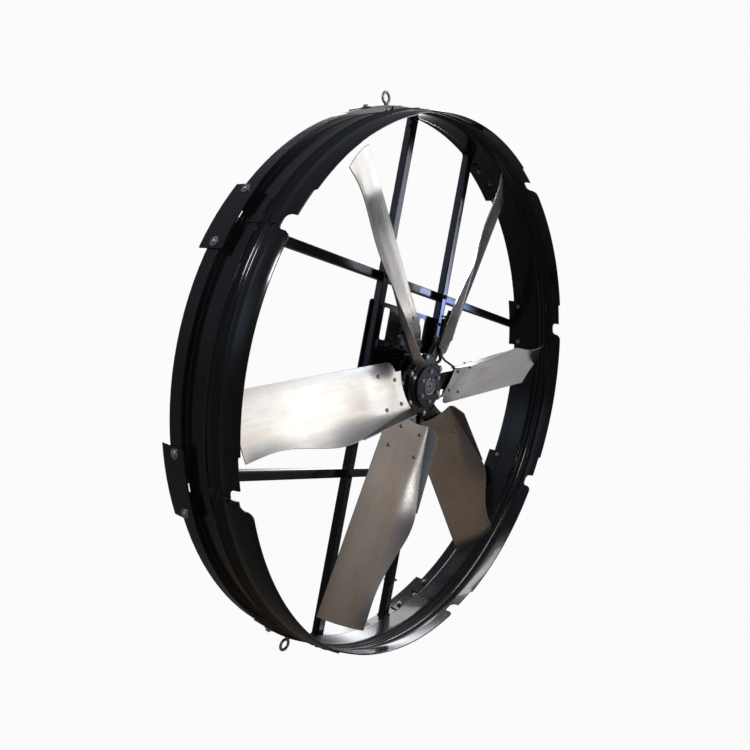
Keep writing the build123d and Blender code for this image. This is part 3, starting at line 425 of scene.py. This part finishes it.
def dress_cad():
    """Gives each CAD piece its own material, or else its slot's, and smooth shading."""
    slots = {part["node"]: part["material_slot"] for part in frame["record"]["subparts"]}
    for name, piece in frame["nodes"].items():
        key = name if name in MATERIALS else slots.get(name, "black_steel")
        piece.data.materials.clear()
        piece.data.materials.append(MATERIALS[key])
        smooth = piece.modifiers.new("smooth", "NODES")
        if name[:6] == "blade_" and name[6:].isdigit():
            smooth.node_group = SMOOTH_SHEET
        else:
            smooth.node_group = SMOOTH_SHROUD if name.startswith("shroud") else SMOOTH


dress_cad()


# --------------------------------------------------------------- mesh helpers
def add_object(name, mesh, material, body="root", slot=None):
    mesh.materials.append(MATERIALS[material])
    made = bpy.data.objects.new(name, mesh)
    scene.collection.objects.link(made)
    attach(made, body)
    return made


def mesh_piece(name, verts, faces, material, smooth=True, **where):
    mesh = bpy.data.meshes.new(name)
    mesh.from_pydata([tuple(v) for v in verts], [], faces)
    mesh.validate()
    bm = bmesh.new()
    bm.from_mesh(mesh)
    bmesh.ops.recalc_face_normals(bm, faces=bm.faces)
    bm.to_mesh(mesh)
    bm.free()
    if smooth:
        for face in mesh.polygons:
            face.use_smooth = True
    return add_object(name, mesh, material, **where)


def ring_faces(rings, sides, closed):
    """Quads between successive rings of points, and from last to first if closed."""
    faces = []
    for i in range(rings if closed else rings - 1):
        j = (i + 1) % rings
        for s in range(sides):
            q = (s + 1) % sides
            faces.append((i * sides + s, i * sides + q, j * sides + q, j * sides + s))
    return faces


def rippled_bar(points, radius, sides, ripple, pitch, closed=False):
    """A round bar along points; its radius swells by ripple once every pitch."""
    points = [Vector(p) for p in points]
    count = len(points)
    verts = []
    across = None
    run = 0.0
    for i, point in enumerate(points):
        before = points[(i - 1) % count if closed else max(i - 1, 0)]
        after = points[(i + 1) % count if closed else min(i + 1, count - 1)]
        tangent = (after - before).normalized()
        if across is None:
            upright = abs(tangent.z) >= 0.9
            side = Vector((1.0, 0.0, 0.0)) if upright else Vector((0.0, 0.0, 1.0))
            across = tangent.cross(side).normalized()
        else:
            # carried on from the ring before, so that the bar doesn't twist
            across = (across - tangent * across.dot(tangent)).normalized()
        other = tangent.cross(across)
        if i:
            run += (points[i] - points[i - 1]).length
        swell = ripple * math.sin(2 * math.pi * run / pitch)
        ring_radius = radius * (1.0 + swell + rng.uniform(-0.05, 0.05))
        for s in range(sides):
            turn = 2 * math.pi * s / sides
            verts.append(point + (across * math.cos(turn) + other * math.sin(turn))
                         * ring_radius)
    faces = ring_faces(count, sides, closed)
    if not closed:
        faces.append(tuple(range(sides - 1, -1, -1)))
        faces.append(tuple((count - 1) * sides + s for s in range(sides)))
    return verts, faces


def catmull_rom(control, steps):
    """A smooth curve through the control points, in steps per span."""
    pts = [Vector(p) for p in control]
    pts = [pts[0] * 2 - pts[1]] + pts + [pts[-1] * 2 - pts[-2]]
    curve = []
    for i in range(1, len(pts) - 2):
        before, start, end, after = pts[i - 1:i + 3]
        for s in range(steps):
            t = s / steps
            curve.append(0.5 * ((2 * start) + (end - before) * t +
                                (2 * before - 5 * start + 4 * end - after) * t * t +
                                (-before + 3 * start - 3 * end + after) * t ** 3))
    curve.append(pts[-2])
    return curve


def rectangle_points(centre_x, centre_y, half_x, half_y, step):
    """Points round a rectangle, evenly spaced along each side."""
    corners = [(centre_x - half_x, centre_y - half_y), (centre_x + half_x, centre_y - half_y),
               (centre_x + half_x, centre_y + half_y), (centre_x - half_x, centre_y + half_y)]
    points = []
    for a, b in zip(corners, corners[1:] + corners[:1]):
        count = max(2, int(math.hypot(b[0] - a[0], b[1] - a[1]) / step))
        for i in range(count):
            points.append((a[0] + (b[0] - a[0]) * i / count, a[1] + (b[1] - a[1]) * i / count))
    return points


# ----------------------------------------------------------------- weld beads
def weld_beads():
    """Rippled beads round each post's outline, where it meets the hoop's inner face."""
    arc_r = HOOP_INNER_R - 0.0012
    for post, side in (("left", -1.0), ("right", 1.0)):
        outline = rectangle_points(side * POST_X, POST_Y, half_x=0.0168, half_y=0.0158,
                                   step=0.0016)
        for end, sign in (("upper", 1.0), ("lower", -1.0)):
            points = [(x, y, sign * math.sqrt(arc_r * arc_r - x * x)) for x, y in outline]
            verts, faces = rippled_bar(points, radius=0.0028, sides=10, ripple=0.16,
                                       pitch=0.0042, closed=True)
            mesh_piece("weld_%s_post_%s" % (post, end), verts, faces, "black_steel")


weld_beads()

# ---------------------------------------------------------------- cable ties
TIE_HEIGHTS = (-0.16, -0.30, -0.47, -0.64, -0.80)
TIE_LEFT, TIE_RIGHT = 0.1776, 0.2222    # takes in the right post and the cable beside it
TIE_HALF_Y = 0.0165
TIE_HALF_WIDTH = 0.0024
TIE_THICKNESS = 0.0011
TIE_HEAD = (0.0052, 0.0062, 0.0066)


def cable_tie(name, z):
    """A flat strap round post and cable, with a moulded head on the right."""
    centre_x = (TIE_LEFT + TIE_RIGHT) / 2
    half_x = (TIE_RIGHT - TIE_LEFT) / 2

    def facing(offset, half):
        return math.copysign(1, offset) if abs(abs(offset) - half) < 1e-4 else 0.0

    outline = rectangle_points(centre_x, POST_Y, half_x, TIE_HALF_Y, step=0.004)
    section = ((0.0, -TIE_HALF_WIDTH), (TIE_THICKNESS, -TIE_HALF_WIDTH),
               (TIE_THICKNESS, TIE_HALF_WIDTH), (0.0, TIE_HALF_WIDTH))
    verts = []
    for x, y in outline:
        outward = Vector((facing(x - centre_x, half_x), facing(y - POST_Y, TIE_HALF_Y), 0.0))
        outward = outward.normalized()
        for offset, rise in section:
            verts.append(Vector((x, y, z + rise)) + outward * offset)
    faces = ring_faces(len(outline), len(section), closed=True)
    mesh_piece(name, verts, faces, "box_plastic", smooth=False)

    bm = bmesh.new()
    bmesh.ops.create_cube(bm, size=1.0)
    bmesh.ops.scale(bm, vec=TIE_HEAD, verts=bm.verts)
    bmesh.ops.bevel(bm, geom=list(bm.edges), offset=0.0009, segments=2, affect="EDGES",
                    profile=0.6)
    bmesh.ops.translate(bm, vec=(centre_x + half_x + 0.0018, POST_Y - 0.002, z),
                        verts=bm.verts)
    mesh = bpy.data.meshes.new(name + "_head")
    bm.to_mesh(mesh)
    bm.free()
    add_object(name + "_head", mesh, "box_plastic")


for i, height in enumerate(TIE_HEIGHTS):
    cable_tie("cable_tie_%d" % (i + 1), height)

# ----------------------------------------------------------------- motor lead
BOSS_ANGLE = math.radians(36.0)
BOSS_R = 0.122
BOSS_Y = HOOP_Y - 0.046
LEAD_STRAIGHT = 0.030       # straight out from the boss
# x, y from the hoop's rear edge, z
LEAD_PATH = (
    (0.160, -0.0505, 0.086), (0.192, -0.0500, 0.094), (0.2225, -0.0440, 0.112),
    (0.2200, -0.0290, 0.148), (0.2172, -0.0180, 0.182), (0.2172, -0.0180, 0.1985),
)


def motor_lead():
    """A corrugated sleeve from the housing's cable boss up to the junction box."""
    out_x, out_z = math.cos(BOSS_ANGLE), math.sin(BOSS_ANGLE)
    start = Vector((BOSS_R * out_x, BOSS_Y, BOSS_R * out_z))
    straight_end = start + Vector((LEAD_STRAIGHT * out_x, 0.0, LEAD_STRAIGHT * out_z))
    path = [start, straight_end] + [(x, HOOP_Y + y, z) for x, y, z in LEAD_PATH]
    verts, faces = rippled_bar(catmull_rom(path, steps=30), radius=0.0058, sides=16,
                               ripple=0.09, pitch=0.0034)
    mesh_piece("motor_lead", verts, faces, "cable_jacket")


motor_lead()

# ----------------------------------------------------------------- lid screws
SCREW_R = 0.0034
SCREW_H = 0.0022
SCREW_INSET = 0.007         # from the lid's edges
SCREW_SIDES = 24
SCREW_RINGS = 5


def pan_screw(name, x, y, z):
    """A domed screw head that rises towards -Y, its flat base at y."""
    verts = []
    for i in range(SCREW_RINGS):
        slope = (math.pi / 2) * i / SCREW_RINGS
        ring_r = SCREW_R * math.cos(slope)
        for s in range(SCREW_SIDES):
            turn = 2 * math.pi * s / SCREW_SIDES
            verts.append((x + ring_r * math.cos(turn), y - SCREW_H * math.sin(slope) ** 0.8,
                          z + ring_r * math.sin(turn)))
    verts.append((x, y - SCREW_H, z))
    faces = ring_faces(SCREW_RINGS, SCREW_SIDES, closed=False)
    last = (SCREW_RINGS - 1) * SCREW_SIDES
    for s in range(SCREW_SIDES):
        faces.append((last + s, last + (s + 1) % SCREW_SIDES, last + SCREW_SIDES))
    faces.append(tuple(range(SCREW_SIDES - 1, -1, -1)))
    screw = mesh_piece(name, verts, faces, "zinc_hardware")
    for face in screw.data.polygons:
        face.use_smooth = len(face.vertices) < SCREW_SIDES


lid_lo, lid_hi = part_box("junction_box_lid")
screw_places = [(x, z) for x in (lid_lo.x + SCREW_INSET, lid_hi.x - SCREW_INSET)
                for z in (lid_lo.z + SCREW_INSET, lid_hi.z - SCREW_INSET)]
for i, (x, z) in enumerate(screw_places):
    pan_screw("lid_screw_%d" % (i + 1), x, lid_lo.y, z)

# ----------------------------------------------- lap strips, in mm and degrees
# y is measured from the hoop's rear edge, negative towards the front.
SEGMENTS = 8
DEEP_SEGMENT = 5
RIM_Y, DEEP_RIM_Y = -251.0, -281.0
BARREL_Y, FLARE_Y = -54, -140       # where the near-straight part and the curve begin
BARREL_R, FLARE_R = 945.0, 943.0
RIM_DROP = 19.0                     # from FLARE_R down to the rim
RIB_YS = (-146.0, -166.0)
RIB_HALF_WIDTH = 9.0
RIB_HALF_HEIGHT = 3.25
STEP_Y, STEP_LENGTH, STEP_HEIGHT = -180, 8.0, 4.0
FACE_OFFSET = 4.0                   # from the skin radius to the shroud's outer face
STRIP_YS = [-57.5 - 3.0 * i for i in range(50)]
# degrees from the joint, segment (0 before the joint, 1 after), lift off the face
STRIP_COLUMNS = (
    (-0.80, 0, 0.25), (-0.74, 0, 1.9), (-0.06, 0, 1.9),
    (0.06, 1, 1.9), (0.74, 1, 1.9), (0.80, 1, 0.25),
)


def rim_y(segment):
    return DEEP_RIM_Y if segment == DEEP_SEGMENT else RIM_Y


def skin_radius(y, rim):
    """The shroud's skin radius at y: a slight taper, a curve, two ribs and a step."""
    if y > FLARE_Y:
        radius = BARREL_R - (BARREL_R - FLARE_R) * (BARREL_Y - y) / (BARREL_Y - FLARE_Y)
    else:
        part = (FLARE_Y - y) / (FLARE_Y - rim)
        radius = FLARE_R - RIM_DROP * (0.35 * part + 0.65 * part * part)
    for rib_y in RIB_YS:
        away = abs(y - rib_y) / RIB_HALF_WIDTH
        radius += RIB_HALF_HEIGHT * (1 + math.cos(math.pi * away)) if away < 1 else 0.0
    rise = min(1.0, max(0.0, (STEP_Y - y) / STEP_LENGTH))
    return radius + STEP_HEIGHT * rise * rise * (3 - 2 * rise)


def lap_strip(index):
    """A thin strip over the joint between one shroud segment and the next."""
    joint = 360.0 / SEGMENTS * (index + 0.5)
    rims = (rim_y(index), rim_y(index + 1))
    verts = []
    for outer in (True, False):
        for y in STRIP_YS:
            end_ease = 0.55 if y in (STRIP_YS[0], STRIP_YS[-1]) else 1.0
            for offset, side, lift in STRIP_COLUMNS:
                radius = skin_radius(y, rims[side]) + FACE_OFFSET
                radius = (radius + 0.12 + lift * end_ease if outer else radius + 0.10) * MM
                angle = math.radians(joint + offset)
                verts.append((radius * math.cos(angle), y * MM + HOOP_Y,
                              radius * math.sin(angle)))
    rows, cols = len(STRIP_YS), len(STRIP_COLUMNS)
    low = rows * cols
    faces = []
    for i in range(rows - 1):
        row, after = i * cols, (i + 1) * cols
        for q in range(cols - 1):
            faces.append((row + q, row + q + 1, after + q + 1, after + q))
            faces.append((low + row + q, low + after + q, low + after + q + 1,
                          low + row + q + 1))
        for q in (0, cols - 1):
            faces.append((row + q, after + q, low + after + q, low + row + q))
    for row in (0, (rows - 1) * cols):
        for q in range(cols - 1):
            faces.append((row + q, row + q + 1, low + row + q + 1, low + row + q))
    strip = mesh_piece("lap_strip_%d" % (index + 1), verts, faces, "moulded_shroud",
                       smooth=False)
    strip.modifiers.new("smooth", "NODES").node_group = SMOOTH_SHROUD


for i in range(SEGMENTS):
    lap_strip(i)


# ------------------------------------------------------------------ snap ring
def snap_ring():
    """An open ring round the bushing, just in front of its -Y face."""
    ring_r = 0.0292
    ring_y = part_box("taper_bushing")[0].y - 0.0006
    points = [(ring_r * math.cos(math.radians(turn)), ring_y,
               ring_r * math.sin(math.radians(turn))) for turn in range(100, 438, 4)]
    verts, faces = rippled_bar(points, radius=0.0018, sides=12, ripple=0.10, pitch=0.009)
    mesh_piece("bushing_snap_ring", verts, faces, "snap_ring", body="rotor",
               slot="hub_hardware")


snap_ring()


# ---------------------------------------------------------------------- floor
def floor():
    """Near white to the camera, mid grey to the light that bounces off it."""
    half = 9.0
    z = cad_lo.z - 0.004
    mesh = bpy.data.meshes.new("floor")
    mesh.from_pydata([(-half, -half, z), (half, -half, z), (half, half, z), (-half, half, z)],
                     [], [(0, 1, 2, 3)])
    made = bpy.data.objects.new("floor", mesh)
    scene.collection.objects.link(made)

    material = bpy.data.materials.new("pale_floor")
    material.use_nodes = True
    graph = Graph(material.node_tree)
    noise = graph.node("ShaderNodeTexNoise", {"Scale": 3.0}).outputs["Fac"]
    pale = graph.node("ShaderNodeMapRange",
                      {"Value": noise, "To Min": 0.955, "To Max": 0.972}).outputs[0]
    grey = graph.node("ShaderNodeCombineColor", {0: pale, 1: pale, 2: pale}).outputs[0]
    seen = graph.node("ShaderNodeEmission", {"Color": grey}).outputs[0]
    bounced = graph.node("ShaderNodeBsdfDiffuse", {"Color": (0.45, 0.44, 0.43, 1)}).outputs[0]
    camera_ray = graph.node("ShaderNodeLightPath").outputs["Is Camera Ray"]
    mixed = graph.node("ShaderNodeMixShader", {0: camera_ray, 1: bounced, 2: seen})
    graph.node("ShaderNodeOutputMaterial", {"Surface": mixed.outputs[0]})
    mesh.materials.append(material)
    made.visible_glossy = False


floor()

# ---------------------------------------------------------------------- world
# height (0 straight down, 1 straight up), colour; the two ends come first
SKY = (
    (0.0, (0.050, 0.042, 0.035, 1)), (1.0, (0.10, 0.11, 0.13, 1)),
    (0.42, (0.055, 0.050, 0.046, 1)), (0.52, (0.065, 0.066, 0.072, 1)),
    (0.70, (0.075, 0.082, 0.10, 1)),
)
# azimuth from +X and elevation in degrees, sharpness, colour
GLOWS = (
    (-48, 27, 14.0, (1.16, 1.14, 1.10)),        # large softbox, front right
    (-84, 5, 30.0, (0.25, 0.195, 0.150)),       # warm wall in front
    (-112, 20, 30.0, (0.19, 0.150, 0.122)),
    (-56, -31, 20.0, (0.085, 0.058, 0.038)),    # brown ground in front
    (-9, -19, 260.0, (0.44, 0.45, 0.52)),       # low panel to the right
    (1, 35, 210.0, (6.2, 6.3, 6.5)),            # high window to the right
    (5, 20, 60.0, (0.11, 0.15, 0.20)),
    (137, 26, 150.0, (0.36, 0.35, 0.34)),
    (38, 17, 85.0, (4.6, 4.65, 4.85)),          # window behind, right
    (-33.8, 5.6, 1300.0, (2.2, 4.0, 11.0)),     # cool strip lamp
    (-36.5, 8.2, 900.0, (5.0, 5.1, 5.8)),       # lamp
    (-39, 14, 260.0, (1.0, 1.2, 1.7)),
    (-133, -30, 12.0, (0.03, 0.06, 0.12)),      # cool floor on the camera's side
    (145, 10, 60.0, (0.26, 0.32, 0.44)),        # cool strip, behind left
)


def studio():
    """A dim room with soft glows; the camera itself sees plain near white."""
    world = bpy.data.worlds.new("studio")
    scene.world = world
    world.use_nodes = True
    graph = Graph(world.node_tree)
    direction = graph.node("ShaderNodeTexCoord").outputs["Generated"]
    z = graph.node("ShaderNodeSeparateXYZ", {0: direction}).outputs["Z"]
    height = graph.calc("ADD", graph.calc("MULTIPLY", z, 0.5), 0.5)
    ramp = graph.node("ShaderNodeValToRGB", {0: height})
    stops = ramp.color_ramp.elements
    for stop, (position, colour) in zip((stops[0], stops[1]), SKY):
        stop.position = position
        stop.color = colour
    for position, colour in SKY[2:]:
        stops.new(position).color = colour
    light = ramp.outputs[0]
    for azimuth, elevation, sharpness, colour in GLOWS:
        turn, rise = math.radians(azimuth), math.radians(elevation)
        centre = Vector((math.cos(turn) * math.cos(rise), math.sin(turn) * math.cos(rise),
                         math.sin(rise))).normalized()
        facing = graph.node("ShaderNodeVectorMath", {0: direction, 1: centre},
                            operation="DOT_PRODUCT").outputs["Value"]
        glow = graph.calc("POWER", graph.calc("MAXIMUM", facing, 0.0), sharpness)
        light = graph.node("ShaderNodeMix", {0: glow, 6: light, 7: (*colour, 1.0)},
                           data_type="RGBA", blend_type="ADD",
                           clamp_result=False).outputs[2]
    room = graph.node("ShaderNodeBackground", {0: light, 1: 1.0})
    plain = graph.node("ShaderNodeBackground", {0: (0.965, 0.965, 0.965, 1)})
    camera_ray = graph.node("ShaderNodeLightPath").outputs["Is Camera Ray"]
    mixed = graph.node("ShaderNodeMixShader",
                       {0: camera_ray, 1: room.outputs[0], 2: plain.outputs[0]})
    graph.node("ShaderNodeOutputWorld", {"Surface": mixed.outputs[0]})


studio()

# --------------------------------------------------------------------- lights
# name, place, aim, (width, height), watts, colour
LIGHTS = (
    ("key", (3.0, -3.6, 2.9), (0, 0, 0.1), (1.4, 1.4), 7.0, (1.0, 0.985, 0.96)),
    ("rim", (3.0, 2.6, 2.2), (0, 0, -0.4), (0.5, 1.4), 8.0, (0.96, 0.98, 1.0)),
    ("rear", (1.4, 3.9, 2.3), (0, 0, 0), (1.8, 1.8), 55.0, (0.96, 0.98, 1.0)),
    # two small cards inside the ring, for the blades
    ("card_top", (-0.25, -0.055, 0.78), (-0.56, -0.06, 0.62), (0.14, 0.20), 0.14,
     (0.97, 0.985, 1.0)),
    ("card_right", (0.775, -0.095, -0.01), (0.45, -0.036, 0.09), (0.26, 0.40), 0.105,
     (0.95, 0.97, 1.0)),
    ("side", (-4.4, 0.05, 2.3), (0, 0, 0.0), (0.8, 0.8), 38.0, (0.97, 0.985, 1.0)),
    ("front", (-2.0, -4.2, 1.6), (0, 0, 0.0), (0.7, 0.7), 16.0, (1.0, 0.99, 0.97)),
)
for name, place, target, (width, height), watts, colour in LIGHTS:
    lamp = bpy.data.lights.new(name, "AREA")
    lamp.shape = "RECTANGLE"
    lamp.size = width
    lamp.size_y = height
    lamp.energy = watts
    lamp.color = colour
    holder = bpy.data.objects.new(name, lamp)
    scene.collection.objects.link(holder)
    holder.location = place
    holder.rotation_mode = "QUATERNION"
    holder.rotation_quaternion = (Vector(target) - Vector(place)).to_track_quat("-Z", "Y")
    holder.visible_camera = False

# --------------------------------------------------------------------- camera
CAMERA_PLACE = (-1.9519, -1.3410, 0.0422)
CAMERA_RIGHT = (0.6071, -0.7734, 0.1822)
CAMERA_BACK = (-0.7857, -0.6186, -0.0077)   # away from the view, squared up below


def camera():
    data = bpy.data.cameras.new("camera")
    made = bpy.data.objects.new("camera", data)
    scene.collection.objects.link(made)
    right = Vector(CAMERA_RIGHT).normalized()
    back = Vector(CAMERA_BACK)
    back = (back - right * back.dot(right)).normalized()
    turn = Matrix((right, back.cross(right), back)).transposed()
    made.matrix_world = Matrix.Translation(CAMERA_PLACE) @ turn.to_4x4()
    data.sensor_fit = "HORIZONTAL"
    data.sensor_width = 36.0
    data.lens = 30.64
    data.shift_x = -0.0090
    data.shift_y = -0.0189
    data.clip_start = 0.01
    data.clip_end = 100.0
    scene.camera = made


camera()
view = scene.view_settings
view.view_transform = "Standard"
view.look = "None"
view.exposure = 0.0
view.gamma = 1.0
